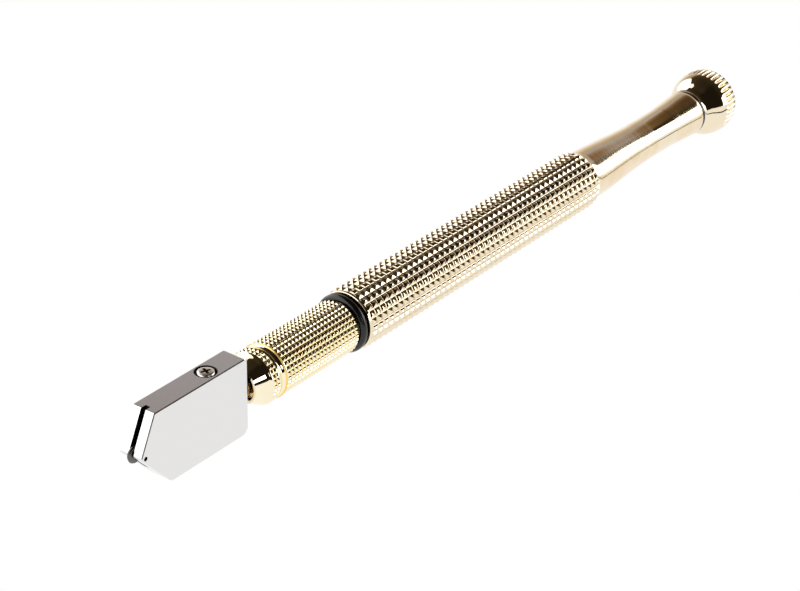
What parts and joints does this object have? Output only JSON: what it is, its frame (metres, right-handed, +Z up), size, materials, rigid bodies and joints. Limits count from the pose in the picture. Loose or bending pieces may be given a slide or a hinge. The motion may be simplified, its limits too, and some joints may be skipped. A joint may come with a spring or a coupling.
{
  "type": "glass cutter",
  "caption": "Oil-fed pencil glass cutter: steel head with a carbide wheel on a sprung stem, knurled gold handle with an oil reservoir, and a screw cap.",
  "frame": {"origin": "under the middle of the tool's length, level with the lower edge of the cutting head", "axes": "+X along the handle from the head to the cap, +Y across the head's thickness, +Z up, out of the head's face with the screw"},
  "size_m": [0.1822, 0.0138, 0.0149],
  "materials": {
    "satin_steel": "satin ground steel",
    "carbide": "dark ground tungsten carbide",
    "bright_steel": "bright nickel-plated steel",
    "yellow_gold": "polished yellow gold plating",
    "pale_gold": "polished pale gold plating",
    "brass": "bare turned brass",
    "black_rubber": "smooth black nitrile rubber",
    "felt": "oil-soaked felt cord"
  },
  "bodies": {
    "handle": {"front_grip": "yellow_gold", "guide_bush": "brass", "stem_seal_ring": "black_rubber", "stem_spring": "bright_steel", "valve_seat": "brass", "valve_spring": "bright_steel", "spring_retainer": "brass", "grip_ring": "black_rubber", "barrel": "pale_gold"},
    "stem": {"stem": "brass", "stem_clip": "bright_steel", "stem_washer": "bright_steel", "oil_wick": "felt"},
    "head": {"head_block": "satin_steel", "head_screw": "bright_steel", "wheel_axle": "bright_steel"},
    "wheel": {"cutting_wheel": "carbide"},
    "valve": {"valve_ball": "bright_steel"},
    "cap_gasket": {"cap_gasket": "black_rubber"},
    "cap": {"cap": "pale_gold"}
  },
  "joints": [
    {"name": "stem_push", "type": "slide", "parent": "handle", "child": "stem", "axis": [1, 0, 0], "range_m": [0, 0.0005], "stiffness_N_per_m": 800, "springref_m": -0.002, "deforming": ["stem_spring"]},
    {"name": "head_swivel", "type": "hinge", "parent": "stem", "child": "head", "pos_m": [-0.0718, 0, 0.0081], "axis": [1, 0, 0], "range_deg": [-8, 8]},
    {"name": "wheel_spin", "type": "hinge", "parent": "head", "child": "wheel", "pos_m": [-0.08945, 0, 0.0074], "axis": [0, 1, 0], "continuous": true},
    {"name": "valve_lift", "type": "slide", "parent": "handle", "child": "valve", "axis": [1, 0, 0], "range_m": [0, 0.00051], "deforming": ["valve_spring"]},
    {"name": "cap_slide", "type": "slide", "parent": "handle", "child": "cap_gasket", "axis": [1, 0, 0], "range_m": [0, 0.00601]},
    {"name": "cap_unscrew", "type": "hinge", "parent": "cap_gasket", "child": "cap", "pos_m": [0.081, 0, 0.0081], "axis": [1, 0, 0], "range_deg": [0, 2160]}
  ],
  "couplings": [
    {"joint": "valve_lift", "follows": "stem_push", "ratio": 1},
    {"joint": "cap_slide", "follows": "cap_unscrew", "m_per_rad": 0.00015915}
  ]
}
